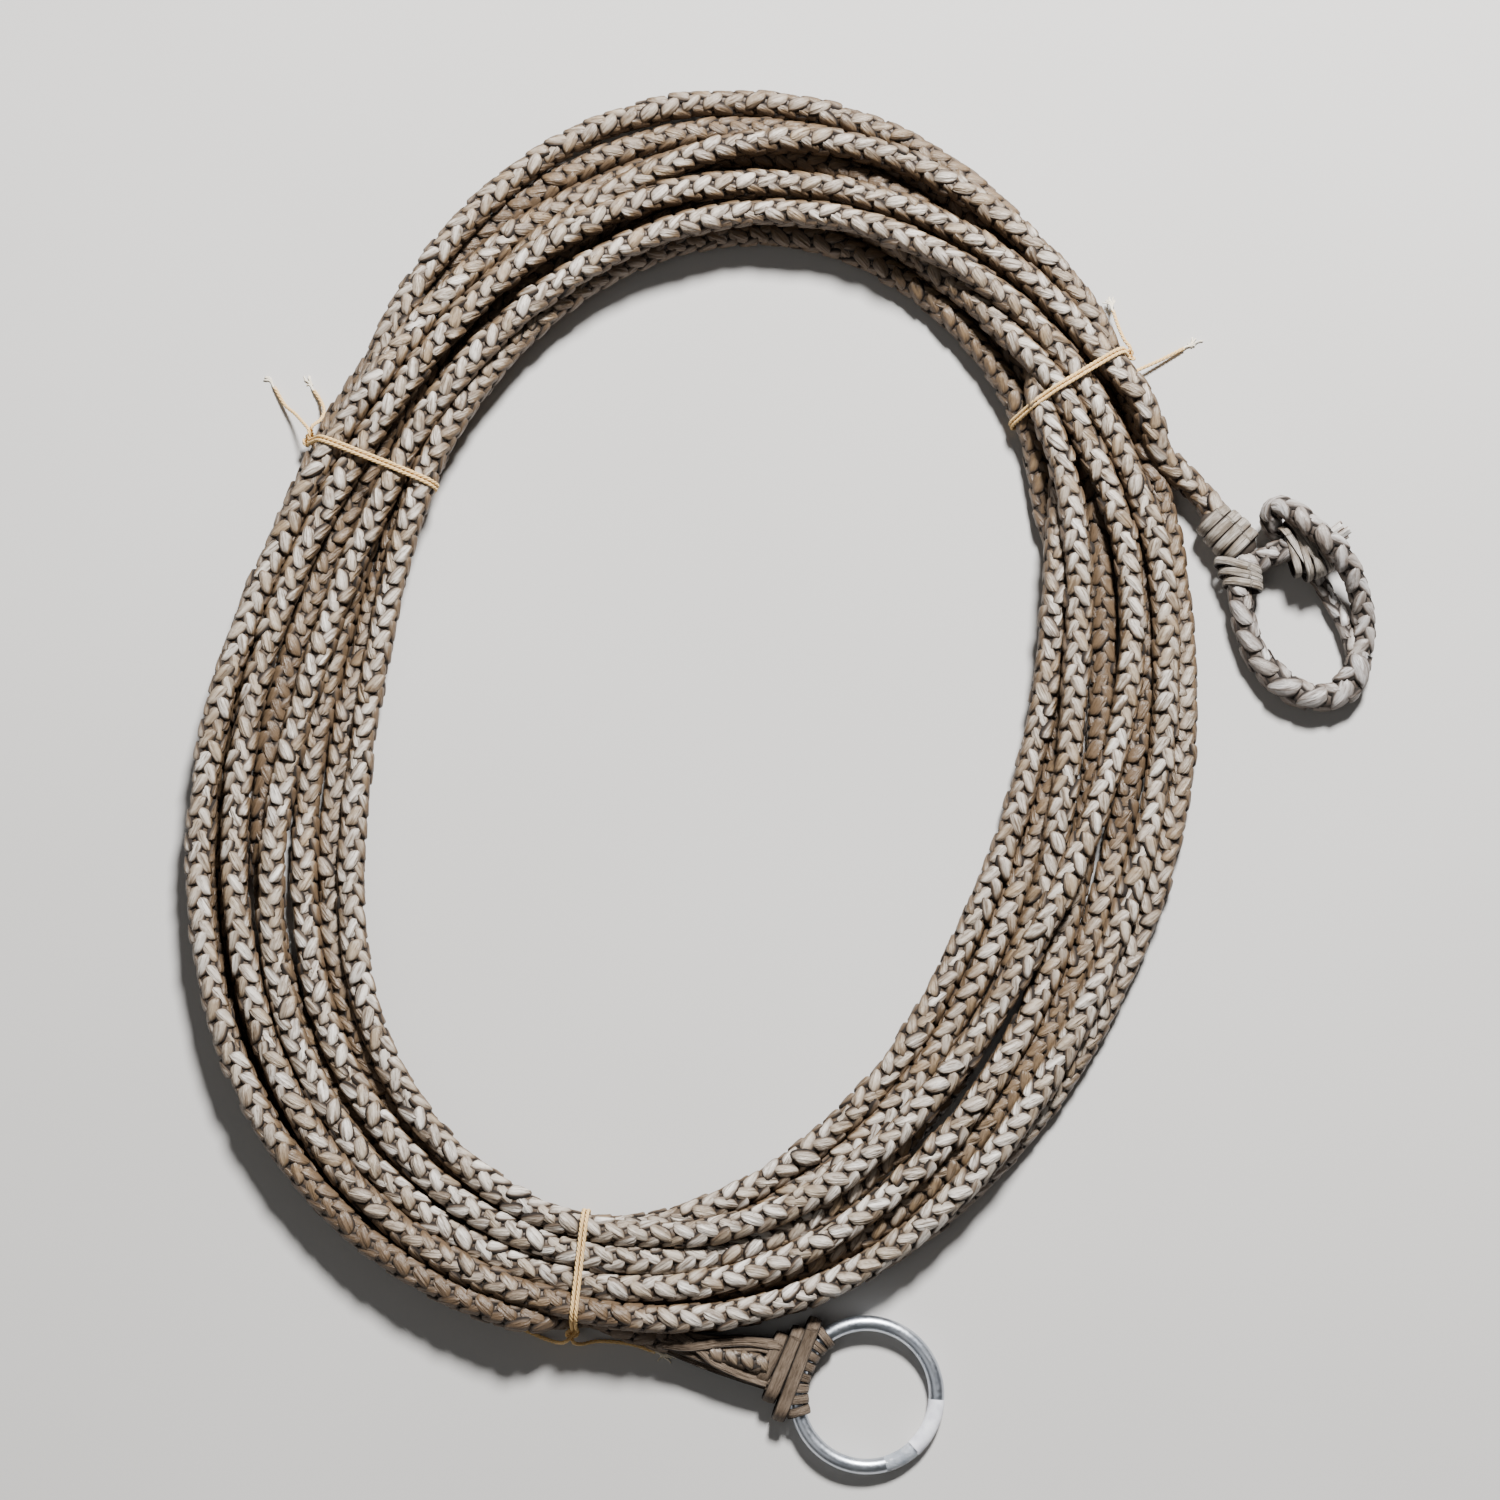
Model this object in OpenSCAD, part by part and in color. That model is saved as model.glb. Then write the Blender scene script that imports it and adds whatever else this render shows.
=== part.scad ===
// Coiled six-strand rawhide lasso: a round-braided rope with a steel ring lashed to
// one end and a braided keeper loop with a button at the other, tied in three places.
// Millimetres, +Z up, origin on the floor under the middle of the whole part.

/* [Rope] */
// Diameter of the braided rope
rope_d = 12; // [10:0.5:13]
// Diameter of the coarser braid of the keeper loop
loop_d = 11.4; // [10:0.2:12]
// Diameter of the two thinner braids round the eye
branch_d = 8; // [7:0.2:8.4]

/* [Coil] */
// Centre of the coil, across
coil_x = -37; // [-40:1:-32]
// Centre of the coil, along
coil_y = 25; // [20:1:30]
// Height of the loose bundle
coil_h = 31; // [26:1:34]
// Height of the bundle where a tie grips it
tied_h = 25; // [22:1:26]
// How much narrower the bundle is pulled at the left, the right and the bottom tie
tie_squeeze = [0, 0, 2.2]; // [0:0.1:5]

/* [Ties] */
// Diameter of the waxed twine
twine_d = 1.7; // [1.4:0.1:2]
// Length of the knot along the twine
knot_l = 5.5; // [4:0.5:6]

/* [Steel ring] */
// Outer diameter of the ring
ring_od = 65; // [60:1:66]
// Diameter of the ring's wire
wire_d = 6.5; // [6:0.1:6.6]
// Angle by which the lashing props up the ring's near side
ring_tilt = 3; // [2.6:0.1:3.2]
// Thickness of the paper label
label_t = 0.2; // [0.1:0.05:0.25]

/* [Rawhide lashings] */
// Thickness of a flat rawhide strip
strip_t = 1.3; // [1.1:0.1:1.3]
// Width of the strip that binds the ring
broad_w = 6; // [5:0.2:6]
// Width of the strip that binds the loop
strip_w = 5; // [4:0.2:5]
// Width of the narrow strip across the loop's long leg
narrow_w = 3.2; // [2.6:0.2:3.4]
// Clearance between the ring's wire and the strips round it
wire_gap = 0.3; // [0.25:0.05:0.35]

/* [Hidden] */

// Each row is a mean, then the size and the direction of each harmonic, from the first on:
// the radius of the coil's middle line about its centre,
mid_edge = [209, [2.5, -165.5], [36.5, 149.4], [3.8, -14.2], [4.2, -51.9]];
// half the width of the bundle of turns,
spread = [34.5, [0.6, 91], [2.4, -35], [3.1, -102]];
// and how far the bundle's own middle lies outside the middle line
shift = [-2.9, [5.6, -80], [0.7, -94], [0.5, -146]];
coil_steps = 72;
// Points round each rounded end of the bundle's section
end_points = 8;
// Each tie's direction from the coil's centre, and how far along the coil its grip fades
tie_angles = [144.7, 40.8, 258.2];
tie_reach = 10;

// Routes of the uncoiled stretches, as points on their centre lines
ring_end_route = [[-84, -240.5, 6.1], [-72, -244, 6.1], [-57, -248.5, 6.4], [-42, -253.3, 7]];
loop_end_route = [[153, 144, 7], [164, 130, 7], [174, 118.5, 8], [184, 106.5, 9]];
keeper_route = [
    [197.4, 77, 9], [198.5, 66, 8.5], [200.5, 56, 7.6], [204.5, 45.5, 6.8], [212, 36, 6.2],
    [222.5, 29.5, 6], [233, 28, 6], [241.5, 33, 6.6], [247, 41, 7.6], [249, 49, 9]
];
outer_route = [
    [250, 49, 9], [251.8, 58, 12.5], [250.3, 69, 17], [245.5, 80, 21.5], [239, 90, 24.5],
    [231, 98.5, 24], [222.5, 104.5, 20], [216, 106.5, 15.5]
];
inner_route = [
    [245.5, 48, 6.5], [242, 59, 5], [236, 70.5, 4.4], [230, 80, 4.2], [224.5, 90, 4.2],
    [219.5, 98, 6.5], [214.5, 104, 10]
];
short_route = [[202.5, 82.5, 9.5], [208.5, 84.8, 11], [215, 87, 12.5], [221, 88.5, 14]];
left_tails = [
    [[-211, 142, 13.5], [-213, 146, 10.5], [-217, 151, 6], [-222, 156, 2.5], [-228, 164, 1]],
    [[-210.5, 143.5, 13.5], [-209, 148.5, 10], [-208.5, 153, 5.5], [-210, 158, 2.2], [-213, 163, 1]]
];
right_tails = [
    [[150.5, 179.5, 13.5], [151.2, 186, 10.5], [151, 191, 6.5], [149, 196, 2.5], [146, 200, 1]],
    [[152.5, 178, 12.5], [156.5, 177, 9], [161, 176, 5], [168, 178, 2], [176, 182, 1]]
];
bottom_tails = [
    [[-94, -252, 12.5], [-98, -253.5, 8], [-104, -252.5, 4], [-111, -249.5, 1.6], [-118, -246.5, 1]],
    [[-91, -252, 12.5], [-86, -254, 8.5], [-80, -255.5, 4.5], [-71, -256.5, 1.6], [-60, -259, 1]]
];

ring_r = (ring_od - wire_d) / 2;
ring_x = 31;
ring_y = -272.8;
lash_angle = -20;
half_lash = 38;
loop_count = 8;
eye_r = wire_d / 2 + wire_gap + strip_t;
wrap_h = 2 * (eye_r + strip_t + 0.05);
ring_z = ring_r * sin(ring_tilt) + wire_d / 2 + 0.25;
splice_angle = -50;
splice_h = 12;
hide = "#a08a68";
hide_dark = "#7d684b";
twine = "#e3b25c";

function harmonic(h, k, t) = h[k][0] * cos(k * t - h[k][1]);
function wave(h, t, k = 1) = k == len(h) ? h[0] : harmonic(h, k, t) + wave(h, t, k + 1);
function polar(r, t) = [coil_x + r * cos(t), coil_y + r * sin(t)];
function mid_point(t) = polar(wave(mid_edge, t), t);
function unit(v) = v / norm(v);
// The outward normal of the coil's middle line
function out_dir(t) = let (d = unit(mid_point(t + 1) - mid_point(t - 1))) [d[1], -d[0]];
function angle_between(a, b) = abs((a - b + 540) % 360 - 180);
function hold(t, a) = exp(-pow(angle_between(t, a) / tie_reach, 4));
function grip(t) = max([for (a = tie_angles) hold(t, a)]);
function middle(t) = mid_point(t) + out_dir(t) * wave(shift, t);
function squeeze(t) = max([for (i = [0:2]) tie_squeeze[i] * hold(t, tie_angles[i])]);
function half_width(t) = wave(spread, t) - squeeze(t);
function low_z(t) = (twine_d + 0.2) * grip(t);
function high_z(t) = coil_h + (low_z(t) + tied_h - coil_h) * grip(t);

// Point j of the bundle's section at direction t: an oval with round ends and a flat
// top and bottom, its outer end first
function section_point(t, j) = let (
    side = j < end_points ? 1 : -1,
    a = side * (180 * (j % end_points) / (end_points - 1) - 90),
    r = (high_z(t) - low_z(t)) / 2,
    m = middle(t) + out_dir(t) * side * (half_width(t) - r + r * cos(a))
) [m[0], m[1], low_z(t) + r + r * sin(a)];

// Faces of a tube of n sides and rows rings; closed joins its last ring to its first
function tube_faces(rows, n, closed) = concat(
    [for (i = [0:rows - (closed ? 1 : 2)]) for (j = [0:n - 1])
        [i * n + j, i * n + (j + 1) % n, ((i + 1) % rows) * n + (j + 1) % n,
         ((i + 1) % rows) * n + j]],
    closed ? [] : [[for (j = [n - 1:-1:0]) j], [for (j = [0:n - 1]) (rows - 1) * n + j]]
);

// A route's point i, with one more step at the same pitch past either end
function route_point(p, i) = i < 0 ? 2 * p[0] - p[1]
    : i > len(p) - 1 ? 2 * p[len(p) - 1] - p[len(p) - 2] : p[i];
function smooth(a, b, c, d, f) = 0.5 * (2 * b + (c - a) * f
    + (2 * a - 5 * b + 4 * c - d) * f * f + (3 * b - a - 3 * c + d) * f * f * f);
// The route with parts points between each two of its own, on one smooth curve
function smooth_route(p, parts) = concat(
    [for (i = [0:len(p) - 2]) for (k = [0:parts - 1])
        smooth(route_point(p, i - 1), p[i], p[i + 1], route_point(p, i + 2), k / parts)],
    [p[len(p) - 1]]
);

module tube(route, d, sides = 10, parts = 2) {
    p = smooth_route(route, parts);
    points = [for (i = [0:len(p) - 1])
        let (
            along = unit(route_point(p, i + 1) - route_point(p, i - 1)),
            side = unit(cross(along, [0, 0, 1])),
            up = cross(side, along)
        )
        for (j = [0:sides - 1])
            let (a = 360 * (j + 0.5) / sides)
            p[i] + d / 2 * (cos(a) * side + sin(a) * up)
    ];
    polyhedron(points, tube_faces(len(p), sides, false), convexity = 6);
}

// A flat oval, long across Y and h high along Z, extruded by w along X about the origin
module oval_bar(l, h, w) {
    rotate([90, 0, 90])
        linear_extrude(height = w, center = true) {
            square([l - h, h], center = true);
            for (s = [-1, 1])
                translate([s * (l - h) / 2, 0])
                    circle(d = h, $fn = 40);
        }
}

// One turn of strip round an oval bundle: l long and h high outside, w wide
module wrap_turn(l, h, w, t = strip_t) {
    difference() {
        oval_bar(l, h, w);
        oval_bar(l - 2 * t, h - 2 * t, w + 1);
    }
}

module rope_coil() {
    points = [for (i = [0:coil_steps - 1]) for (j = [0:2 * end_points - 1])
        section_point(i * 360 / coil_steps, j)];
    color(hide)
        polyhedron(points, tube_faces(coil_steps, 2 * end_points, true), convexity = 6);
}

module rope_ring_end() {
    color(hide) tube(ring_end_route, rope_d);
}

module rope_loop_end() {
    color(hide) tube(loop_end_route, rope_d);
}

// Places a child in the ring's own frame: X away from the rope, Z along the ring's axis
module at_ring() {
    translate([ring_x, ring_y, ring_z])
        rotate([0, 0, lash_angle])
            rotate([0, ring_tilt, 0])
                children();
}

// A sleeve round the ring's wire from angle a0 to a1, between two radii about the wire
module wire_sleeve(a0, a1, r_in, r_out) {
    rotate([0, 0, a0])
        rotate_extrude(angle = a1 - a0, $fn = 96)
            translate([ring_r, 0])
                difference() {
                    circle(r = r_out, $fn = 40);
                    circle(r = r_in, $fn = 40);
                }
}

module steel_ring() {
    color("#a9b0b6")
        at_ring()
            rotate_extrude($fn = 120)
                translate([ring_r, 0])
                    circle(d = wire_d, $fn = 48);
}

module ring_label() {
    color("#f2f0ea")
        at_ring()
            wire_sleeve(-28, 16, wire_d / 2, wire_d / 2 + label_t);
}

module ring_tape() {
    color("#dfe6ea")
        at_ring()
            wire_sleeve(-55, -29, wire_d / 2, wire_d / 2 + label_t / 2);
}

module ring_eye_loops() {
    pitch = 2 * half_lash / loop_count;
    color(hide_dark)
        at_ring()
            for (i = [0:loop_count - 1])
                wire_sleeve(180 - half_lash + pitch * i + 0.7, 180 - half_lash + pitch * (i + 1) - 0.7,
                    wire_d / 2 + wire_gap, eye_r);
}

// The wedge's plan in the ring's frame, from the end of the braid to the ring
wedge_plan = [
    [-73.5, -11], [-73.5, -0.5], [-44, 7.5], [-38, 8.4], [-32, 13.3],
    [-32, -13.3], [-38, -8.4], [-44, -8]
];

module ring_fan_core() {
    core_h = wrap_h - 4 * strip_t;
    color(hide_dark)
        at_ring()
            difference() {
                translate([0, 0, -core_h / 2])
                    linear_extrude(height = core_h)
                        polygon(wedge_plan);
                rotate_extrude($fn = 96)
                    translate([ring_r, 0])
                        circle(r = eye_r + 0.1, $fn = 40);
            }
}

// Flat strands over and under the wedge, from the braid's end to the first wrap
module ring_fan_strands() {
    lift = wrap_h / 2 - 2 * strip_t;
    strands = 5;
    color(hide)
        at_ring()
            for (side = [0, 1])
                mirror([0, 0, side])
                    translate([0, 0, lift])
                        linear_extrude(height = strip_t)
                            for (i = [0:strands - 1])
                                polygon([
                                    [-72, -10.6 + 2 * i], [-72, -9 + 2 * i],
                                    [-44.2, -5.4 + 3.4 * i], [-44.2, -8.4 + 3.4 * i]
                                ]);
}

// Turn i of the strip that binds the wedge to the ring, the first nearest the braid
module ring_wrap(i) {
    color(hide)
        at_ring()
            translate([-41 + i * (broad_w + 0.3), 0, 0])
                wrap_turn(23 + 11.5 * i, wrap_h, broad_w);
}

module ring_wrap_inner() { ring_wrap(0); }
module ring_wrap_middle() { ring_wrap(1); }
module ring_wrap_outer() { ring_wrap(2); }

// Places a child in the splice's own frame: X along it towards the loop, at distance x
module at_splice(x) {
    translate([184.5, 105, 9])
        rotate([0, 0, splice_angle])
            translate([x, 0, 0])
                children();
}

module loop_splice_core() {
    color(hide_dark)
        at_splice(12)
            oval_bar(15, splice_h, 22);
}

module loop_wrap(i) {
    color(hide)
        at_splice(4 + i * (strip_w + 0.4))
            wrap_turn(18.2 + 1.1 * i, splice_h + 2 * strip_t, strip_w);
}

module loop_wrap_1() { loop_wrap(0); }
module loop_wrap_2() { loop_wrap(1); }
module loop_wrap_3() { loop_wrap(2); }
module loop_wrap_4() { loop_wrap(3); }

module loop_cross_wrap(i) {
    color(hide)
        translate([197.6 + 0.6 * i, 74.6 - 3.9 * i, 8.6])
            rotate([0, 0, -104 + 2 * i])
                wrap_turn(21 - 1.6 * i, 15.2, narrow_w);
}

module loop_cross_wrap_1() { loop_cross_wrap(0); }
module loop_cross_wrap_2() { loop_cross_wrap(1); }
module loop_cross_wrap_3() { loop_cross_wrap(2); }

module keeper_loop() {
    color(hide) tube(keeper_route, loop_d);
}

module eye_outer_branch() {
    color(hide) tube(outer_route, branch_d);
}

module eye_inner_branch() {
    color(hide) tube(inner_route, branch_d);
}

module eye_tip_knot() {
    color(hide)
        translate([212, 106.5, 12])
            rotate([0, 0, 160])
                resize([13, 12, 13])
                    sphere(d = 12, $fn = 20);
}

module short_leg() {
    color(hide) tube(short_route, loop_d - 1.4);
}

module button_knot() {
    color(hide_dark)
        translate([229.5, 90, 14.4])
            rotate([0, 0, 24])
                resize([17, 21, 12.4])
                    sphere(d = 16, $fn = 24);
}

module button_end() {
    color(hide)
        translate([239.5, 96.5, 14])
            rotate([0, 90, 35])
                cylinder(h = 9, d = 8, center = true, $fn = 32);
}

// The doubled twine of tie number i, in the plane that crosses the bundle
module tie_band(i) {
    a = tie_angles[i];
    m = middle(a);
    n = out_dir(a);
    l = 2 * half_width(a) + 1;
    h = high_z(a) - low_z(a) + 0.2;
    color(twine)
        translate([m[0], m[1], (low_z(a) + high_z(a)) / 2])
            rotate([0, 0, atan2(n[1], n[0]) - 90])
                wrap_turn(l + 2 * twine_d, h + 2 * twine_d, 2 * twine_d, twine_d);
}

// The knot of tie number i, against the outside of its band
module tie_knot(i) {
    a = tie_angles[i];
    m = middle(a);
    n = out_dir(a);
    reach = half_width(a) + twine_d + 2.25;
    color(twine)
        translate([m[0] + n[0] * reach, m[1] + n[1] * reach, (low_z(a) + high_z(a)) / 2])
            rotate([0, 0, atan2(n[1], n[0])])
                resize([3.4, 4.6, knot_l])
                    sphere(d = 4, $fn = 16);
}

module tie_tails(routes) {
    color(twine)
        for (route = routes)
            tube(route, twine_d, sides = 8, parts = 2);
}

module tie_left_band() { tie_band(0); }
module tie_left_knot() { tie_knot(0); }
module tie_left_tails() { tie_tails(left_tails); }
module tie_right_band() { tie_band(1); }
module tie_right_knot() { tie_knot(1); }
module tie_right_tails() { tie_tails(right_tails); }
module tie_bottom_band() { tie_band(2); }
module tie_bottom_knot() { tie_knot(2); }
module tie_bottom_tails() { tie_tails(bottom_tails); }

rope_coil();
rope_ring_end();
rope_loop_end();
steel_ring();
ring_label();
ring_tape();
ring_eye_loops();
ring_fan_core();
ring_fan_strands();
ring_wrap_inner();
ring_wrap_middle();
ring_wrap_outer();
loop_splice_core();
loop_wrap_1();
loop_wrap_2();
loop_wrap_3();
loop_wrap_4();
loop_cross_wrap_1();
loop_cross_wrap_2();
loop_cross_wrap_3();
keeper_loop();
eye_outer_branch();
eye_inner_branch();
eye_tip_knot();
short_leg();
button_knot();
button_end();
tie_left_band();
tie_left_knot();
tie_left_tails();
tie_right_band();
tie_right_knot();
tie_right_tails();
tie_bottom_band();
tie_bottom_knot();
tie_bottom_tails();
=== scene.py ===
"""A braided rawhide lasso, coiled and tied in three places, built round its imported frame.

Lengths are in millimetres until a mesh is made, which is in metres like the frame.
"""

import math

import bpy
import numpy as np
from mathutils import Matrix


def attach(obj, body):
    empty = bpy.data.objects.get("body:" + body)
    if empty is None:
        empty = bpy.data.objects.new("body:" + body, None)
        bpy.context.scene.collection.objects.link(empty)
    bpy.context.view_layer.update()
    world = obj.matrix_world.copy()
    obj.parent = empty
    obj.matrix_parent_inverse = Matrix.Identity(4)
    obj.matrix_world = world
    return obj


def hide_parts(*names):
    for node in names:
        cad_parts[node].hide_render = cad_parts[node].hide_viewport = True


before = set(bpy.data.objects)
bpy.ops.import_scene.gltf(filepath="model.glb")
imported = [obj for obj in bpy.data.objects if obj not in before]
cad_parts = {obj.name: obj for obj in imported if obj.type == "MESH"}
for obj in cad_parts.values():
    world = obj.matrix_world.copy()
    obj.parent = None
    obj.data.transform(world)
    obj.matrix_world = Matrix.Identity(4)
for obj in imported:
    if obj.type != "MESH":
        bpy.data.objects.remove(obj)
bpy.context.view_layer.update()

MM = 0.001
SEED = 11
rng = np.random.default_rng(SEED)

# ---------------------------------------------------------------- sizes, as in the CAD
ROPE_D = 12.0
LOOP_D = 11.4
BRANCH_D = 8.0
TWINE_D = 1.7
COIL_CENTRE = np.array([-37.0, 25.0])
# the coil's middle line: its mean radius, then the size and phase of each harmonic
MID_EDGE = (209, (2.5, -165.5), (36.5, 149.4), (3.8, -14.2), (4.2, -51.9))
TIE_ANGLES = (145.9, 39.8, 258.2)
TIE_REACH = 10.0
RING_CENTRE = np.array([31.0, -272.8, 5.031])
RING_R = 29.25
WIRE_R = 3.25
LASH_ANGLE = -20.0
RING_TILT = 3.0
HALF_LASH = 38.0
LASH_LOOPS = 8
STRIP_T = 1.3
WIRE_GAP = 0.3
# the three turns that bind the strands to the ring: place, length and lean
RING_WRAPS = (("inner", -42.6, 24.5, 0.1), ("middle", -36.8, 34.0, 0.06),
              ("outer", -31.0, 45.5, 0.02))
# the four turns over the loop's splice: length and lean
SPLICE_WRAPS = ((17.6, 0.02), (20.0, 0.0), (20.8, -0.02), (19.4, -0.04))
# the button: where its turns lie along it, and how they lean by turns
BUTTON_WRAPS = (-7.4, -5.2, -3.0, -1.0, 1.0, 3.0, 5.2, 7.4)
BUTTON_LEAN = (0.16, -0.14)
SPLICE = np.array([182.2, 103.0, 9.0])
SPLICE_ANGLE = -46.0

RING_LEAD = [(-88, -238.5, 7), (-72, -244, 6.6), (-57, -248.5, 6.4), (-42, -253.3, 7)]
LOOP_LEAD = [(188.4, 99.6, 9), (184.2, 105.8, 9), (174, 117.5, 9.4), (162.5, 128, 13)]
KEEPER_ROUTE = [
    (194.5, 84, 9), (194.5, 75, 9), (195, 66, 9), (196.2, 57.8, 8.5), (198.4, 50.3, 7.6),
    (202.2, 40.8, 7), (209.2, 31.4, 7), (219, 24.6, 7), (229, 22, 7),
    (237.7, 24.4, 7), (243.5, 31.4, 7.2), (246.4, 41, 7.6),
]
KEEPER_GIRTH = ((0, 1.0), (35, 1.0), (55, 1.14), (85, 1.16), (110, 1.04))
EYE_ROUTE = [
    (245, 37.5, 7), (247.3, 43.5, 7.5), (248.2, 50, 8.2), (248.2, 56.3, 9.5),
    (247, 62.5, 11.5), (244.8, 69.2, 14.5), (241, 76.4, 18.5), (235.6, 83.5, 22),
    (228.6, 90, 24), (222.7, 96, 23), (217.2, 101.3, 20), (212.3, 104.2, 16),
    (209.1, 102.5, 12), (209.7, 98.3, 8.4), (213.1, 95.1, 6.2), (216.4, 91.5, 5),
    (221, 86, 4.6), (227.4, 78.5, 4.5), (232.4, 71, 4.5), (236.8, 63.2, 4.7),
    (240.6, 55.4, 5.2), (242.6, 48.3, 6), (243.4, 41, 6.6),
]
EYE_GIRTH = ((0, 1.34), (55, 1.36), (75, 1.34), (98, 1.25), (112, 0.98), (150, 0.96), (175, 1.0))
SHORT_ROUTE = [
    (193, 80.5, 9), (198.3, 80.8, 9), (203.3, 82, 9.5), (208.1, 84.2, 11), (213, 85.8, 12.5),
    (218.4, 86.7, 13.5), (223.5, 86, 13.8),
]
BUTTON = np.array([225.0, 84.8, 13.4])
BUTTON_ANGLE = 24.0
BUTTON_MID = BUTTON + (-1.1, 2.6, 0.0)
# flat strands that open out between the braid and the ring, in the ring's own frame
FAN_ROUTES = [
    [(-86, -3.5, 4), (-70, -1.5, 5), (-56, 3.4, 5), (-40, 7.4, 4.9)],
    [(-86, -5.5, 5.4), (-70, -4.2, 5.8), (-58, -0.6, 5.6), (-49, 3, 5.3), (-40, 3.6, 5)],
    [(-86, -8.5, 4.6), (-70, -9, 4.8), (-56, -8.6, 4.4), (-40, -8.2, 4.4)],
    [(-84, -10.5, 2.2), (-70, -11.2, 2.6), (-54, -11, 2.8), (-40, -10.4, 3)],
    [(-87, -9.5, 5.2), (-76, -6.5, 6.8), (-65, -0.8, 6.8), (-53, 4, 6.2), (-41, 6.4, 5.6)],
    [(-84, -3.4, 6), (-74, -5.6, 6.6), (-64, -9, 5.6), (-50, -10, 4.8), (-41, -9.6, 4.6)],
]
FAN_KNOT = [(-68, -6, 3), (-56, -4.4, 3.8), (-43, -2.6, 3.8)]
TAILS = (
    (
        [(-210, 139.5, 13), (-213, 144, 10), (-217.5, 149.5, 6), (-222.5, 154.5, 2.5),
         (-227.5, 163, 1)],
        [(-209, 141, 13), (-205.5, 146, 9.5), (-204.8, 151, 5.5), (-206.8, 156.5, 2.2),
         (-210, 161.5, 1)],
    ),
    (
        [(149.4, 177, 13.5), (146.8, 181.2, 12.5), (145, 187, 10), (143.8, 192, 8),
         (143, 196.6, 6)],
        [(150.5, 168.5, 5.5), (156, 171, 4.5), (164, 175, 3), (174.5, 180.8, 1.5)],
    ),
    (
        [(-94, -251, 12), (-97.5, -251.5, 7), (-103, -250, 3), (-109, -247.6, 1.6),
         (-116, -244.5, 1.2), (-120.6, -240.8, 1)],
        [(-91, -251, 12), (-87.5, -252, 7), (-82, -251, 2.5), (-74, -251.3, 1.2),
         (-66, -252.5, 1.2), (-57, -255.5, 1)],
    ),
)
# how many points of the last turn are left out before the second tail, and how far the
# turns slant across the bundle, for each tie
TAIL_CUT = (2, 14, 2)
TIE_SKEW = (0.0, 0.16, 0.0)
TIE_NAMES = ("left", "right", "bottom")

# Each row is one turn of the rope, from the loop end on: how far outside the coil's
# middle line it lies, every 20 degrees, and how high it starts, in layers.
LANES = (
    (41, 41, 15, -7, -21, -19, -10, -3, 7.2, 14.2, 16.8, 15.2, 12, 16, 32, 34, 30, 22),
    (17, 15.5, -1.5, -23, -34, -36.5, -29.5, -21, -15, -9, 0, 5, 1, 4.5, 13, 16, 12, -4),
    (-14.5, -13, -3, 6, 9.5, 14.5, 13.5, 16.5, 20.5, 29, 33, 29, 22, 17, 22, 26, 20, 7),
    (3.5, 9, 17, 20, 22.5, 28.5, 18, 12.5, 16, 20, 22, 22, 21, 15, 31, 41, 38.5, 33.5),
    (26, 21, 18, 11, 5, -11.5, -11, -9, -3, 6.5, 10, 2.5, -10, -17, -13, -12, -16.5, -23.5),
    (-27, -26, -27.5, -34, -37, -38, -34, -29.5, -33, -36.5, -34, -29, -25.5, -16.5, -4, -1.5,
     -3, -3.5),
    (1, 3, -13, -27, -28, -28, -27, -25.5, -26.5, -26, -23, -18.5, -19, -17.5, -21.5, -23, -29, -34),
    (-36, -32, -26, -14, -10.5, -17, -18, -17, -16, -16.5, -13.5, -10.5, -12, -6, 4, 1, -4.5,
     -17.5),
    (-24.5, -22, -21, 0, 0, -1.5, 2, 9, 17.5, 27, 31.5, 31, 25, 22.5, 22.5, 22.5, 22.5, 22.5),
)
LAYERS = (
    (1, 1, 1.6, 2, 2, 2, 2, 2, 2, 2, 2, 2, 2, 2, 2, 2, 2, 2),
    (2, 2, 1.8, 1.5, 1.5, 1.5, 1.5, 1.5, 1.5, 1.5, 1.5, 1.5, 1.5, 1.5, 1.5, 1.5, 1.5, 0.8),
    (0, 0, 0, 0, 0, 0, 0, 0, 0, 0, 0, 0, 0, 0, 0, 0, 0, 0),
    (0, 0, 0, 0, 0, 0.3, 0.8, 0.9, 0.5, 0, 0, 0, 0, 0, 0, 0, 0, 0),
    (0.8, 0.8, 0.9, 1, 1, 0.4, 0, 0, 0, 0, 0, 0, 0, 0, 0, 0.2, 0.4, 0.4),
    (0, 0, 0, 0, 0, 0, 0.2, 0.3, 0.3, 0.3, 0.4, 0.5, 1, 1.6, 2, 1.8, 1.6, 1.6),
    (1.6, 1.6, 1.5, 0.5, 0, 0, 0, 0, 0, 0, 0, 0, 0, 0, 0, 0, 0, 0),
    (0.2, 0.2, 0, 0, 0, 0, 0, 0, 0.1, 0.4, 0.9, 1.2, 1.2, 1.2, 0.9, 0.8, 1, 1.3),
    (1.4, 1.4, 0.8, 0, 0, 0.6, 1, 1.3, 1.5, 1.5, 1.3, 1, 0.6, 0, 0, 0, 0, 0),
)
LANE_STEP = 20.0
COIL_START = 35.0
COIL_END = 8 * 360 + 258.0
# settling the coil: its points in a turn, how many times they are moved, how close two
# turns may lie, and the height of a turn on the floor and of one layer more
STATIONS = 72
SETTLE_STEPS = 900
LANE_GAP = 11.6
FLOOR_Z = 6.1
LAYER_Z = 9.0
# turns whose middles are nearer than this, seen from above, lie side by side
BESIDE = 14.0

# ---------------------------------------------------------------- how a braid is drawn
# where a strand's outline has its points, most of them on its outer face, and where it
# has its rings from one end of a stitch, -0.5, to the other
SECTION = (-10, 28, 60, 90, 120, 152, 190, 270)
STITCH = (-0.5, -0.488, -0.46, -0.38, -0.2, 0, 0.2, 0.38, 0.46, 0.488)
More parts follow.
